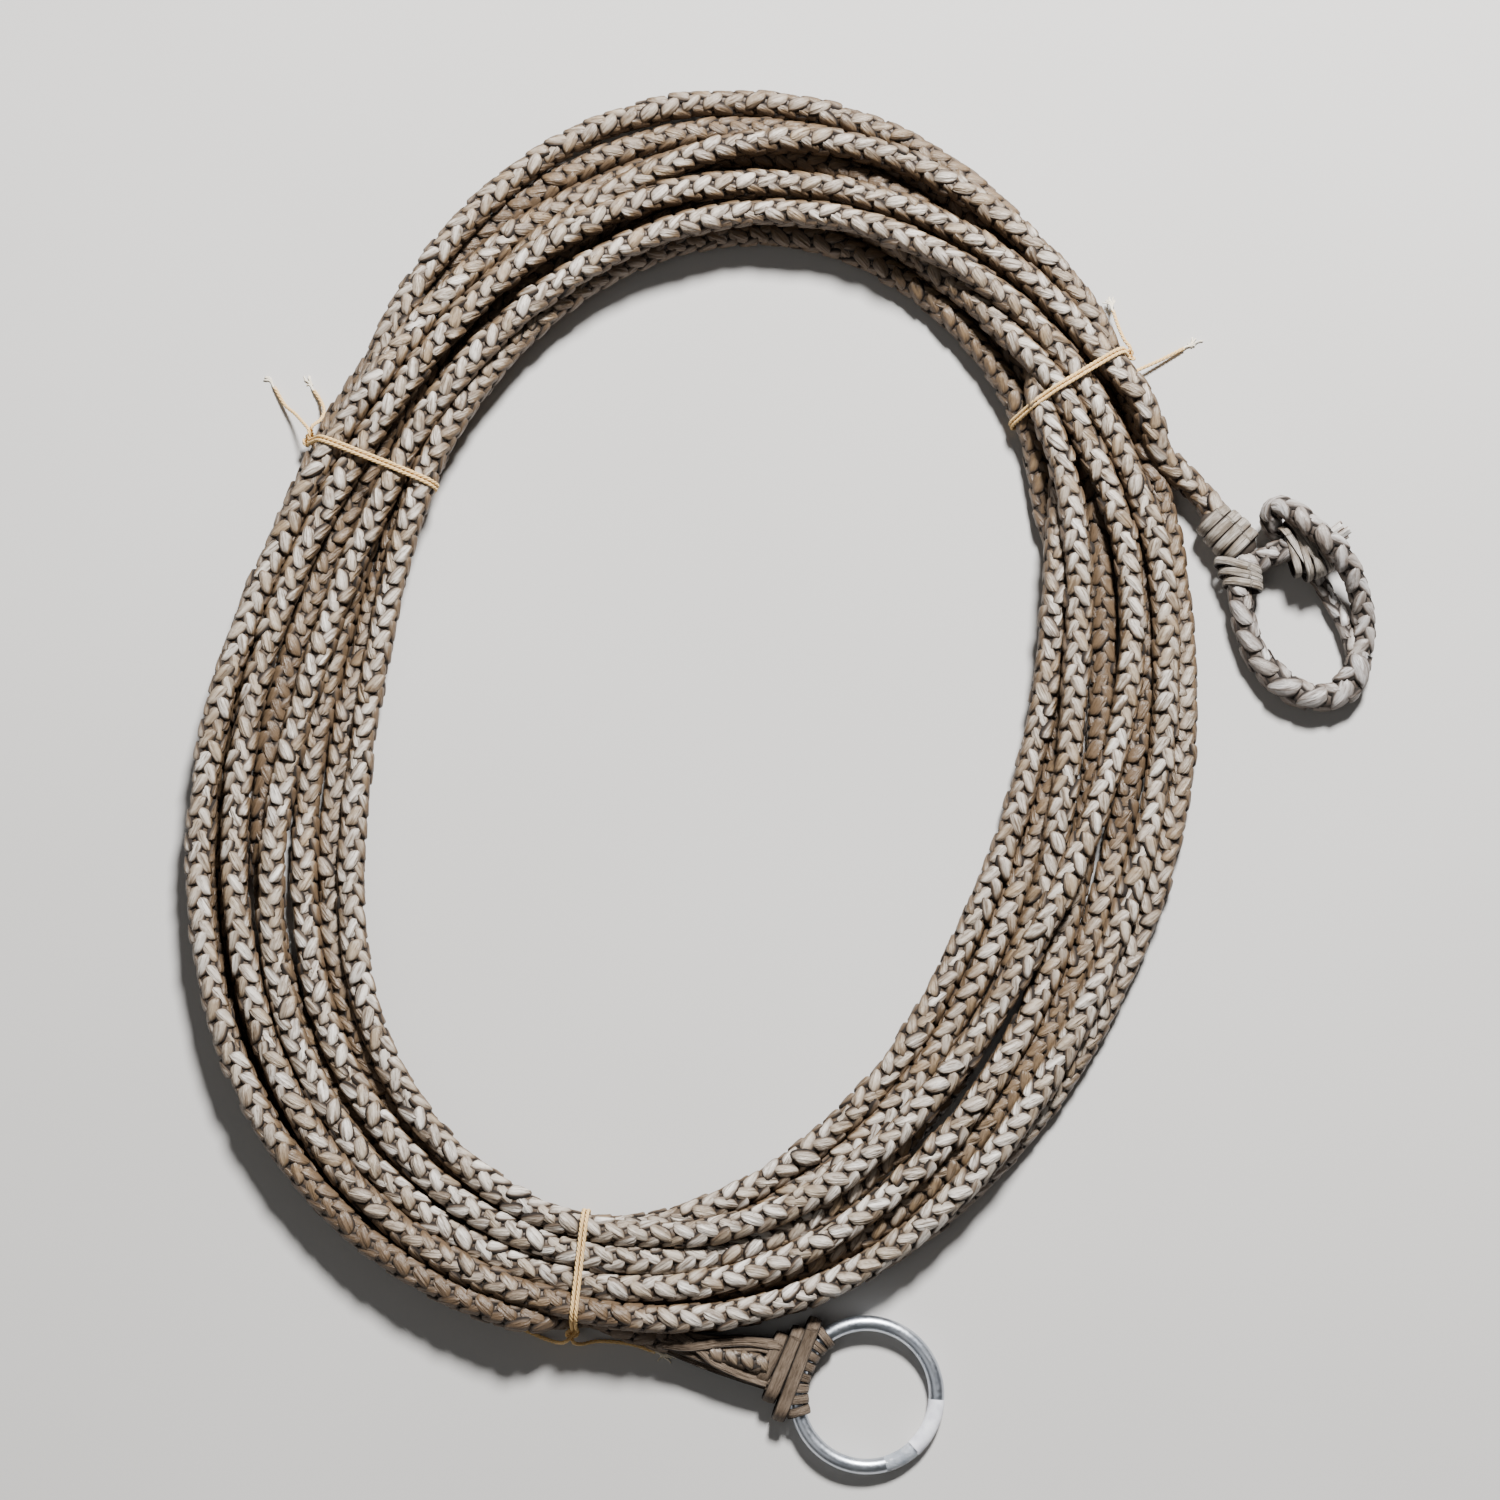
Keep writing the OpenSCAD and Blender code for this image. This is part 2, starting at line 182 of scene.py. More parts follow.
# shares of the braid's radius: a strand's half thickness and what a flat braid takes off
# it, how far a strand swings in and out, and the core
STRAND_THICK = 0.38
FLAT_THINNER = 0.05
STRAND_SWING = 0.2
CORE_R = 0.79
# how far a strand crosses over while it is on top, of its way to the next column
STITCH_LEAN = 0.43
# a stitch's width at its middle, against one column's, and what its ends take off it
ROPE_PLUMP = 1.86
LOOP_PLUMP = 1.62
POINTED = 0.8
# a strand's full turn, along the rope, and the strands each way round
ROPE_LAY = 29.0
ROPE_WAYS = 3

# ---------------------------------------------------------------- view, in metres
CAMERA_AT = (-0.0175, -0.2358, 1.332)
CAMERA_TILT = math.atan2(0.2363, 1.332)
FLOOR_SIZE = 4.0


# ---------------------------------------------------------------- camera, light and floor
def add_camera():
    data = bpy.data.cameras.new("Camera")
    data.lens = 50
    data.sensor_width = 24
    data.clip_end = 50
    camera = bpy.data.objects.new("Camera", data)
    camera.location = CAMERA_AT
    camera.rotation_euler = (CAMERA_TILT, 0, 0)
    bpy.context.collection.objects.link(camera)
    bpy.context.scene.camera = camera


def add_light(name, place, target, size, power):
    data = bpy.data.lights.new(name, "AREA")
    data.shape = "DISK"
    data.size = size
    data.energy = power
    light = bpy.data.objects.new(name, data)
    light.location = place
    aim = np.array(target) - np.array(place)
    light.rotation_euler = (
        math.atan2(math.hypot(aim[0], aim[1]), -aim[2]),
        0,
        math.atan2(aim[1], aim[0]) - math.pi / 2,
    )
    bpy.context.collection.objects.link(light)


def add_lights():
    add_light("key", (0.35, 1.15, 1.45), (0, 0, 0), 0.4, 126)
    add_light("fill", (-0.9, -0.9, 1.9), (0, 0, 0), 1.8, 5)
    world = bpy.data.worlds.new("studio")
    world.use_nodes = True
    world.node_tree.nodes["Background"].inputs["Color"].default_value = (1, 1, 1, 1)
    world.node_tree.nodes["Background"].inputs["Strength"].default_value = 0.07
    bpy.context.scene.world = world


# ---------------------------------------------------------------- materials
class Paint:
    """A material's nodes, made one after another."""

    def __init__(self, name, roughness, metallic=0.0, specular=0.5):
        self.material = bpy.data.materials.new(name)
        self.material.use_nodes = True
        self.tree = self.material.node_tree
        self.shader = self.tree.nodes["Principled BSDF"]
        self.shader.inputs["Roughness"].default_value = roughness
        self.shader.inputs["Metallic"].default_value = metallic
        self.shader.inputs["Specular IOR Level"].default_value = specular

    def link(self, out, socket):
        self.tree.links.new(out, socket)

    def attribute(self, name, output):
        node = self.tree.nodes.new("ShaderNodeAttribute")
        node.attribute_name = name
        return node.outputs[output]

    def place(self):
        return self.tree.nodes.new("ShaderNodeTexCoord").outputs["Object"]

    def stretch(self, vector, scale):
        node = self.tree.nodes.new("ShaderNodeMapping")
        node.inputs["Scale"].default_value = scale
        self.link(vector, node.inputs["Vector"])
        return node.outputs["Vector"]

    def noise(self, vector, scale, detail=3.0, roughness=0.55):
        node = self.tree.nodes.new("ShaderNodeTexNoise")
        node.inputs["Scale"].default_value = scale
        node.inputs["Detail"].default_value = detail
        node.inputs["Roughness"].default_value = roughness
        self.link(vector, node.inputs["Vector"])
        return node.outputs["Fac"]

    def ramp(self, value, *stops):
        node = self.tree.nodes.new("ShaderNodeValToRGB")
        elements = node.color_ramp.elements
        while len(elements) < len(stops):
            elements.new(0.5)
        for element, (at, colour) in zip(elements, stops):
            element.position = at
            element.color = (*colour, 1)
        self.link(value, node.inputs["Fac"])
        return node.outputs["Color"]

    def mix(self, factor, a, b):
        """From a, where the factor is 0, to b; a and b are colours or sockets."""
        node = self.tree.nodes.new("ShaderNodeMix")
        node.data_type = "RGBA"
        for name, kind, value in (("Factor", "VALUE", factor), ("A", "RGBA", a), ("B", "RGBA", b)):
            socket = next(s for s in node.inputs if s.name == name and s.type == kind)
            if isinstance(value, bpy.types.NodeSocket):
                self.link(value, socket)
            else:
                socket.default_value = (*value, 1)
        return next(out for out in node.outputs if out.type == "RGBA")

    def math(self, operation, a, b, clamp=False):
        node = self.tree.nodes.new("ShaderNodeMath")
        node.operation = operation
        node.use_clamp = clamp
        for socket, value in zip(node.inputs, (a, b)):
            if isinstance(value, bpy.types.NodeSocket):
                self.link(value, socket)
            else:
                socket.default_value = value
        return node.outputs[0]

    def bump(self, height, strength, distance):
        node = self.tree.nodes.new("ShaderNodeBump")
        node.inputs["Strength"].default_value = strength
        node.inputs["Distance"].default_value = distance
        self.link(height, node.inputs["Height"])
        self.link(node.outputs["Normal"], self.shader.inputs["Normal"])

    def colour(self, out):
        self.link(out, self.shader.inputs["Base Color"])


def braid_paint(name, pale, tan, gold, edge, dark):
    """Rawhide strands: each stitch its own tint, streaked along its length, paler on its crown
    from wear and brown towards its edges, that gradient partly painted shade that rounds the
    stitch, and nearly black in the crevices between stitches as painted shade. The field of
    brownness carries painted shade along with the hide's own browning; where it is high the
    strands turn gold and then dark brown."""
    paint = Paint(name, 0.42, specular=0.5)
    grain = paint.attribute("grain", "Vector")
    streaks = paint.noise(paint.stretch(grain, (0.1, 1.15, 1.0)), 1.0, 4.0, 0.65)
    ridges = paint.noise(paint.stretch(grain, (0.07, 0.5, 1.0)), 1.0, 2.0)
    blotches = paint.noise(paint.stretch(grain, (0.16, 0.35, 1.0)), 1.0, 3.0)
    tint = paint.attribute("tint", "Fac")
    crown = paint.attribute("crown", "Fac")
    broad = paint.noise(paint.place(), 7.0, 2.0)
    brown_and_shade = paint.math("ADD", paint.attribute("brown_and_shade", "Fac"),
                      paint.math("MULTIPLY", broad, 0.45), clamp=True)
    spot = paint.math("ADD", paint.math("MULTIPLY", tint, 0.62),
                      paint.math("MULTIPLY", blotches, 0.66))
    base = paint.mix(paint.ramp(brown_and_shade, (0.2, (0, 0, 0)), (0.85, (1, 1, 1))), tan, gold)
    tone = paint.math("MAXIMUM", paint.ramp(spot, (0.25, (0, 0, 0)), (0.95, (1, 1, 1))),
                      paint.ramp(brown_and_shade, (0.35, (0, 0, 0)), (0.85, (1, 1, 1))))
    base = paint.mix(tone, pale, base)
    # paler on the crown and brown towards the stitch's edges: partly wear, partly painted shade that
    # rounds the stitch
    crown_wear_and_shade = paint.math("ADD", crown, paint.math("MULTIPLY", ridges, 0.45))
    crown_wear_and_shade = paint.math("MULTIPLY", crown_wear_and_shade, 0.75)
    base = paint.mix(paint.ramp(crown_wear_and_shade, (0.6, (0, 0, 0)), (0.94, (1, 1, 1))), edge, base)
    base = paint.mix(paint.ramp(streaks, (0.38, (0.8,) * 3), (0.5, (0, 0, 0))), base, edge)
    # painted shade: where the brown field is highest, on low turns and down the flanks, the strands
    # go dark brown
    base = paint.mix(paint.ramp(brown_and_shade, (0.52, (0, 0, 0)), (1.0, (0.92,) * 3)), base, edge)
    # painted shade: nearly black in the crevices between stitches and over the core
    rim = paint.math("ADD", crown, paint.math("MULTIPLY", streaks, 0.3))
    raised = paint.ramp(rim, (0.56, (0, 0, 0)), (0.86, (1, 1, 1)))
    paint.colour(paint.mix(raised, dark, base))
    rough = paint.math("SUBTRACT", 0.95, paint.math("MULTIPLY", raised, 0.55))
    paint.link(rough, paint.shader.inputs["Roughness"])
    relief = paint.math("ADD", paint.math("MULTIPLY", ridges, 1.6), streaks)
    paint.bump(relief, 1.0, 0.0011)
    return paint.material


def strip_paint(name, pale, edge, dark):
    """Flat rawhide lashing: long streaks and ridges, and painted shade: dark along the edges and on
    the underside.
    """
    paint = Paint(name, 0.55, specular=0.35)
    grain = paint.attribute("grain", "Vector")
    streaks = paint.noise(paint.stretch(grain, (0.1, 1.9, 1.0)), 1.0, 4.0, 0.65)
    ridges = paint.noise(paint.stretch(grain, (0.06, 0.6, 1.0)), 1.0, 2.0)
    blotches = paint.noise(paint.stretch(grain, (0.1, 0.25, 1.0)), 1.0, 3.0)
    base = paint.mix(paint.ramp(blotches, (0.36, (0, 0, 0)), (0.64, (1, 1, 1))), pale, edge)
    base = paint.mix(paint.ramp(streaks, (0.36, (0.8,) * 3), (0.5, (0, 0, 0))), base, edge)
    # painted shade: dark towards the strip's edges and on its underside
    rim = paint.math("ADD", paint.attribute("crown", "Fac"), paint.math("MULTIPLY", ridges, 0.4))
    base = paint.mix(paint.ramp(rim, (0.5, (0, 0, 0)), (1.0, (1, 1, 1))), dark, base)
    paint.colour(base)
    relief = paint.math("ADD", paint.math("MULTIPLY", ridges, 2.0), streaks)
    paint.bump(relief, 1.0, 0.0011)
    return paint.material


def twine_paint(name, deep, pale):
    paint = Paint(name, 0.75, specular=0.2)
    grain = paint.attribute("grain", "Vector")
    fibres = paint.noise(paint.stretch(grain, (1.2, 3.0, 1.0)), 1.0, 3.0)
    base = paint.mix(paint.ramp(fibres, (0.35, (0, 0, 0)), (0.65, (1, 1, 1))), deep, pale)
    paint.colour(base)
    paint.bump(fibres, 0.5, 0.0002)
    return paint.material


def zinc_paint():
    paint = Paint("galvanised_steel", 0.3, metallic=1.0)
    cloud = paint.noise(paint.place(), 90.0, 4.0)
    fine = paint.noise(paint.place(), 700.0, 3.0)
    paint.colour(paint.ramp(cloud, (0.3, (0.42, 0.46, 0.52)), (0.7, (0.66, 0.69, 0.74))))
    rough = paint.math("ADD", 0.2, paint.math("MULTIPLY", fine, 0.3))
    paint.link(rough, paint.shader.inputs["Roughness"])
    paint.bump(fine, 0.15, 0.0002)
    return paint.material


def paper_paint():
    paint = Paint("label_paper", 0.7, specular=0.3)
    crinkle_relief_and_shade = paint.noise(paint.place(), 160.0, 4.0)
    # painted shade: greyer in the hollows of the crinkles, whiter on their crests
    paint.colour(paint.ramp(crinkle_relief_and_shade, (0.3, (0.62, 0.62, 0.68)), (0.6, (0.86, 0.86, 0.9))))
    paint.bump(crinkle_relief_and_shade, 0.5, 0.0006)
    return paint.material


def tape_paint():
    paint = Paint("clear_tape", 0.12, specular=0.6)
    crinkle_relief_and_shade = paint.noise(paint.place(), 220.0, 5.0)
    # painted shade and sheen: darker in the hollows of the crinkles, paler on their crests
    paint.colour(paint.ramp(crinkle_relief_and_shade, (0.35, (0.5, 0.54, 0.6)), (0.7, (0.8, 0.83, 0.88))))
    paint.shader.inputs["Transmission Weight"].default_value = 0.55
    paint.bump(crinkle_relief_and_shade, 0.9, 0.001)
    return paint.material


def floor_paint():
    paint = Paint("floor", 0.85, specular=0.15)
    cloud = paint.noise(paint.place(), 3.0, 2.0)
    paint.colour(paint.ramp(cloud, (0.3, (0.51, 0.495, 0.475)), (0.7, (0.55, 0.535, 0.515))))
    return paint.material


# ---------------------------------------------------------------- paths and frames
def fade(values, start, end):
    """From 0 at start to 1 at end, and no further."""
    return np.clip((values - start) / (end - start), 0, 1)


def along(points):
    """The length along a row of points, from 0."""
    steps = np.linalg.norm(np.diff(points, axis=0), axis=1)
    return np.concatenate([[0.0], np.cumsum(steps)])


def smooth_path(points, spacing):
    """A smooth curve through the points, with its own points evenly spaced."""
    p = np.array(points, float)
    p = np.vstack([2 * p[0] - p[1], p, 2 * p[-1] - p[-2]])
    a, b, c, d = p[:-3, None], p[1:-2, None], p[2:-1, None], p[3:, None]
    f = np.linspace(0, 1, 12, endpoint=False)[None, :, None]
    fine = 0.5 * (2 * b + (c - a) * f + (2 * a - 5 * b + 4 * c - d) * f ** 2
                  + (3 * b - a - 3 * c + d) * f ** 3)
    fine = np.vstack([fine.reshape(-1, p.shape[1]), p[-2]])
    length = along(fine)
    count = max(2, int(round(length[-1] / spacing)) + 1)
    at = np.linspace(0, length[-1], count)
    return np.stack([np.interp(at, length, fine[:, k]) for k in range(p.shape[1])], axis=1)


def unit(v):
    return v / np.maximum(np.linalg.norm(v, axis=-1, keepdims=True), 1e-9)


def frames(path):
    """The ways to the side and up at each point of a path."""
    ahead = unit(np.gradient(path, axis=0))
    side = unit(np.cross(ahead, np.broadcast_to((0, 0, 1), path.shape)))
    return side, np.cross(side, ahead)


def drift(count, reach, spread):
    """A smooth random wander of about that spread, changing over that many points."""
    knots = rng.normal(0, spread, int(count / reach) + 4)
    return np.interp(np.arange(count) / reach, np.arange(len(knots)), knots)


# ---------------------------------------------------------------- meshes
def add_mesh(name, tubes, material):
    """One mesh of tubes. Each is its points (rings, sides, 3) in millimetres, the values of
    its fields at those points, and whether it closes on itself."""
    verts, loops, counts = [], [], []
    fields = {"grain": [], "tint": [], "crown": [], "brown_and_shade": []}
    base = 0
    for tube in tubes:
        points = tube["points"]
        rings, sides = points.shape[:2]
        index = base + np.arange(rings * sides).reshape(rings, sides)
        nxt = np.roll(index, -1, 0) if tube["closed"] else index[1:]
        cur = index if tube["closed"] else index[:-1]
        quads = np.stack([cur, nxt, np.roll(nxt, -1, 1), np.roll(cur, -1, 1)], axis=-1)
        loops.append(quads.ravel())
        counts.append(np.full(quads.shape[0] * sides, 4))
        if not tube["closed"]:
            loops += [index[0], index[-1][::-1]]
            counts.append(np.array([sides, sides]))
        verts.append(points.reshape(-1, 3))
        for key, values in fields.items():
            width = 3 if key == "grain" else 1
            value = np.broadcast_to(tube.get(key, 0.0), (rings, sides, width) if width == 3
                                    else (rings, sides))
            values.append(value.reshape(-1, width) if width == 3 else value.reshape(-1))
        base += rings * sides
    verts = np.concatenate(verts) * MM
    verts[:, 2] = np.maximum(verts[:, 2], 0)
    loops = np.concatenate(loops).astype(np.int32)
    counts = np.concatenate(counts)
    starts = np.concatenate([[0], np.cumsum(counts)[:-1]]).astype(np.int32)
    mesh = bpy.data.meshes.new(name)
    mesh.vertices.add(len(verts))
    mesh.vertices.foreach_set("co", verts.astype(np.float32).ravel())
    mesh.loops.add(len(loops))
    mesh.loops.foreach_set("vertex_index", loops)
    mesh.polygons.add(len(counts))
    mesh.polygons.foreach_set("loop_start", starts)
    mesh.polygons.foreach_set("use_smooth", np.ones(len(counts), bool))
    mesh.update(calc_edges=True)
    for key, values in fields.items():
        kind = "FLOAT_VECTOR" if key == "grain" else "FLOAT"
        field = mesh.attributes.new(key, kind, "POINT")
        data = np.concatenate(values).astype(np.float32).ravel()
        field.data.foreach_set("vector" if key == "grain" else "value", data)
    mesh.materials.append(material)
    piece = bpy.data.objects.new(name, mesh)
    bpy.context.collection.objects.link(piece)
    return piece


def braid(path, diameter, lay, ways, brown_and_shade=0.0, roll=0.0, flat=0.0, girth=1.0,
          plump=ROPE_PLUMP):
    """The strands of a round braid: as many each way round as ways, over one and under one.

    Where a strand is on top it lies nearly along the rope, a plump stitch; it then dives
    and crosses to the next column. The last tube is the core, coloured dark as painted shade
    between the strands. How brown the hide is comes in from 0 to 1, with painted shade
    already in it; the braid adds more painted shade, rising down its flanks and underside."""
    s = along(path)
    side, up = frames(path)
    radius = diameter / 2
    girth = np.broadcast_to(girth, s.shape)
    thick = (STRAND_THICK - FLAT_THINNER * flat) * radius
    swing = STRAND_SWING * radius
    middle = radius - thick - swing
    stitch = lay / ways
    turn = roll + drift(len(s), 150, 0.7)
    bow = np.radians(SECTION)
    across = np.cos(bow)
    out = np.where(np.sin(bow) < -0.5, -0.35, np.sin(bow))
    brown_and_shade = np.broadcast_to(brown_and_shade, s.shape)

    def at(values, where):
        values = np.reshape(values, (len(s), -1))
        return np.stack([np.interp(where, s, column) for column in values.T], axis=-1)

    def place(where, angle, far):
        return at(path, where)[:, None] + far[..., None] * (
            np.cos(angle)[..., None] * at(side, where)[:, None]
            + np.sin(angle)[..., None] * at(up, where)[:, None])

    tubes = []
    cells = int(s[-1] / stitch) + 2
    for way in (1, -1):
        start = 0.0 if way == 1 else 0.5
        cell = np.repeat(np.arange(cells), len(STITCH))
        x = np.tile(STITCH, cells)
        where = (cell + x + start) * stitch
        inside = (where >= 0) & (where <= s[-1])
        cell, x, where = cell[inside], x[inside], where[inside]
        far_out = np.abs(2 * x)
        over = 1 - 2 * far_out ** 20
        swept = cell + 0.5 * np.sign(x) * (STITCH_LEAN * far_out
                                           + (1 - STITCH_LEAN) * far_out ** 24)
        for k in range(ways):
            lump, fat, twist, pull = rng.normal(0, 1, (4, cells))[:, cell]
            tint = rng.uniform(0, 1, cells)[cell][:, None]
            on_top = np.clip(1 - far_out ** 7, 0, 1)
            reach = middle + swing * over + 0.04 * radius * lump * on_top
            half = np.pi / (2 * ways) * (plump + 0.06 * fat - POINTED * far_out ** 3)
            angle = (2 * np.pi / ways * (way * swept + k + start) + at(turn, where)[:, 0]
                     + np.radians(3) * twist * on_top + np.radians(5) * pull * x)
            angle = angle[:, None] + across[None, :] * half[:, None]
            far = reach[:, None] + out[None, :] * (thick * (1 + 0.08 * lump))[:, None]
            far = far * at(girth, where)
            shape = far.shape
            grain = np.stack([
                np.broadcast_to(where[:, None], shape),
                np.broadcast_to(across[None, :], shape) * 0.24 * diameter,
                17.0 * k + 60.0 * way + 5.0 * np.broadcast_to(tint, shape),
            ], axis=-1)
            # painted shade: a stitch's crown value falls where it dives, so the paint darkens it
            # there
            crown = np.clip(out, 0, 1)[None, :] ** 2 * (0.6 + 0.4 * on_top)[:, None]
            points = place(where, angle, far)
            height = (points[..., 2] - at(path, where)[:, 2:]) / radius
            # painted shade: the brown field rises down the rope's flanks and underside
            shade = at(brown_and_shade, where) + 1.5 * np.clip(0.78 - height, 0, 1.6)
            tubes.append(dict(points=points, closed=False, grain=grain, crown=crown,
                              tint=np.broadcast_to(tint, shape), brown_and_shade=shade))
    ring = np.linspace(0, 2 * np.pi, 8, endpoint=False)
    core = np.broadcast_to(CORE_R * radius * girth[:, None], (len(s), 8))
    # the core is coloured dark brown to nearly black, as painted shade between the strands
    tubes.append(dict(points=place(s, np.broadcast_to(ring, core.shape), core), closed=False,
                      crown=0.6, brown_and_shade=0.8))
    return tubes


def strip(path, normal, width, thick, closed=False, sides=12):
    """A flat strip of hide along a path, lying with its broad side towards normal."""
    if closed:
        ahead = unit(np.roll(path, -1, 0) - np.roll(path, 1, 0))
        steps = np.linalg.norm(np.roll(path, -1, 0) - path, axis=1)
        s = np.concatenate([[0.0], np.cumsum(steps)[:-1]])
    else:
        ahead = unit(np.gradient(path, axis=0))
        s = along(path)
    normal = unit(normal - ahead * np.sum(normal * ahead, axis=1, keepdims=True))
    side = np.cross(ahead, normal)
    angle = np.linspace(0, 2 * np.pi, sides, endpoint=False)
    across = np.sign(np.cos(angle)) * np.abs(np.cos(angle)) ** 0.45
    out = np.sign(np.sin(angle)) * np.abs(np.sin(angle)) ** 0.7
    out = out * (1 - 0.25 * np.abs(across) ** 2)
    count = len(path)
    half = width / 2 * (1 + drift(count, 7, 0.03))
    lift = drift(count, 6, 0.06)
    if closed:
        blend = np.minimum(np.arange(count), np.arange(count)[::-1]) / 6.0
        half = width / 2 + (half - width / 2) * np.clip(blend, 0, 1)
        lift = lift * np.clip(blend, 0, 1)
    points = (path[:, None] + side[:, None] * (across[None, :] * half[:, None])[..., None]
              + normal[:, None] * (out[None, :] * thick / 2 + lift[:, None])[..., None])
    shape = (count, sides)
    grain = np.stack([np.broadcast_to(s[:, None], shape),
                      np.broadcast_to(across[None, :] * width / 2, shape),
                      np.full(shape, rng.uniform(0, 90))], axis=-1)
    # the crown field falls towards the strip's edges and underside; the paint lays painted shade
    # there
    crown = np.broadcast_to((1 - np.abs(across[None, :]) ** 4 * 0.8)
                            * np.clip(0.6 + out[None, :], 0.15, 1), shape)
    return dict(points=points, closed=closed, grain=grain, crown=crown, tint=rng.uniform(0, 1))


def twine_tubes(path, diameter, plies=3, lay=6.0, sides=6):
    """Twisted twine: its plies wound round each other."""
    s = along(path)
    side, up = frames(path)
    radius = diameter / 2
    tubes = []
    ply_r = 0.52 * radius
    angle = np.linspace(0, 2 * np.pi, sides, endpoint=False)
    for k in range(plies):
        turn = 2 * np.pi * (s / lay + k / plies)
        centre = path + (radius - ply_r) * (np.cos(turn)[:, None] * side
                                           + np.sin(turn)[:, None] * up)
        points = centre[:, None] + ply_r * (np.cos(angle)[None, :, None] * side[:, None]
                                            + np.sin(angle)[None, :, None] * up[:, None])
        shape = points.shape[:2]
        grain = np.stack([np.broadcast_to(s[:, None], shape),
                          np.broadcast_to(angle[None, :], shape),
                          np.full(shape, 9.0 * k)], axis=-1)
        tubes.append(dict(points=points, closed=False, grain=grain, crown=1.0, tint=0.5))
    return tubes


# ---------------------------------------------------------------- the coil's own lie
def mid_point(t):
    """The coil's middle line: its radius is a mean and a few harmonics."""
    r = MID_EDGE[0] + sum(a * np.cos(np.radians(k * t - phase))
                          for k, (a, phase) in enumerate(MID_EDGE[1:], start=1))
    return np.stack([COIL_CENTRE[0] + r * np.cos(np.radians(t)),
                     COIL_CENTRE[1] + r * np.sin(np.radians(t))], axis=-1)


def out_way(t):
    d = unit(mid_point(t + 1.0) - mid_point(t - 1.0))
    return np.stack([d[..., 1], -d[..., 0]], axis=-1)


def grip(t):
    """How near a tie is, from 0 to 1."""
    away = [np.abs((t - a + 540) % 360 - 180) for a in TIE_ANGLES]
    return np.max([np.exp(-(d / TIE_REACH) ** 4) for d in away], axis=0)


def to_coil(t, u, z):
    """The point at angle t of the coil, u outside its middle line and z above the floor."""
    xy = mid_point(t) + out_way(t) * np.asarray(u)[..., None]
    return np.concatenate([xy, np.asarray(z)[..., None]], axis=-1)


def settle_coil():
    """Lay the turns down: each is pushed away from turns nearer than the lane gap, and keeps near
    its lane.
    """
    t = np.arange(COIL_START, COIL_END + 0.1, 360 / STATIONS)
    grid = np.arange(len(LANES) * 18) * LANE_STEP
    want = np.interp(t, grid, np.ravel(LANES))
    layer = np.interp(t, grid, np.ravel(LAYERS))
    u, z = want.copy(), FLOOR_Z + LAYER_Z * layer
    pin = 0.05 + 0.20 * np.clip(layer, 0, 1)
    floor = FLOOR_Z + 1.7 * grip(t)
    roof = 24.9 - 3.9 * grip(t)
    count = len(t)
    station = np.arange(count) % STATIONS
    high, low = np.full(STATIONS, -99.0), np.full(STATIONS, 99.0)
    np.maximum.at(high, station, want)
    np.minimum.at(low, station, want)
    high, low = high[station], low[station]
    for step in range(SETTLE_STEPS):
        move_u, move_z = np.zeros(count), np.zeros(count)
        for gap in range(STATIONS, count, STATIONS):
            du, dz = u[gap:] - u[:-gap], z[gap:] - z[:-gap]
            apart = np.maximum(np.hypot(du, dz), 0.5)
            lack = np.clip(LANE_GAP - apart, 0, None)
            way_u, way_z = 0.6 * du, dz
            size = np.maximum(np.hypot(way_u, way_z), 0.5)
            push = lack / size * 0.45
            move_u[gap:] += push * way_u
            move_u[:-gap] -= push * way_u
            move_z[gap:] += push * way_z
            move_z[:-gap] -= push * way_z
        ease = max(0.25, 1 - step / SETTLE_STEPS)
        u += move_u + pin * ease * (want - u)
        z += move_z - 0.12 * ease
        for values, weight in ((u, 0.12), (z, 0.12)):
            values[1:-1] += weight * (values[:-2] + values[2:] - 2 * values[1:-1])
        u = np.clip(u, low, high)
        z = np.clip(z, floor, roof)
    return t, u, z


# ---------------------------------------------------------------- pieces
def finish_piece(piece, body, slot, *nodes):
    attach(piece, body)
    if nodes:
        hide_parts(*nodes)
    return piece


def depth_below(path, s):
    """How far each point of the rope lies below the turns beside it, outside and inside."""
    some = np.arange(0, len(path), 8)
    p, at = path[some], s[some]
    beside = np.hypot(*(p[:, None, :2] - p[None, :, :2]).transpose(2, 0, 1)) < BESIDE
    beside &= np.abs(at[:, None] - at[None, :]) > 5 * ROPE_D
    r = np.hypot(*(p[:, :2] - COIL_CENTRE).T)
    depths = []
    for outward in (r[None, :] > r[:, None], r[None, :] < r[:, None]):
        above = np.where(beside & outward, p[None, :, 2], 0).max(axis=1) - p[:, 2]
        depths.append(np.interp(s, at, np.clip(above, 0, ROPE_D + 2)))
    return np.array(depths)


def rope_brown_and_shade(path, s, outside):
    """How brown the rope is, with painted shade and a painted sheen in it. It is browner lower
    down, partly the hide's own colour and partly painted shade; browner low between higher
    turns and on the outer turns at the lower left, as painted shade; browner towards the
    ring, partly the hide's colour and partly painted shade; and paler on the other turns at
    the bottom, as a painted sheen."""
    x, y, z = path.T
    depth = depth_below(path, s)
    # browner lower down: partly the hide's own colour, partly painted shade
    brown_and_shade = 0.24 + 0.16 * np.clip(y / 220, -0.9, 1) - 0.01 * (z - 13)
    # painted shade: browner where the rope lies below the turns beside it
    brown_and_shade = brown_and_shade + 0.055 * depth.min(axis=0) + 0.014 * depth.max(axis=0)
    # browner towards the ring end: partly the hide's colour, partly painted shade
    brown_and_shade = brown_and_shade + 0.5 * fade(s, 150, 0)
    # painted shade: browner on the outer turns at the lower left; the other turns at the bottom are
    # made paler, as a painted sheen
    brown = 1.2 * fade(x, -25, -75) * fade(outside, 8, 15)
    return brown_and_shade + fade(y, -130, -210) * (brown - 0.42)


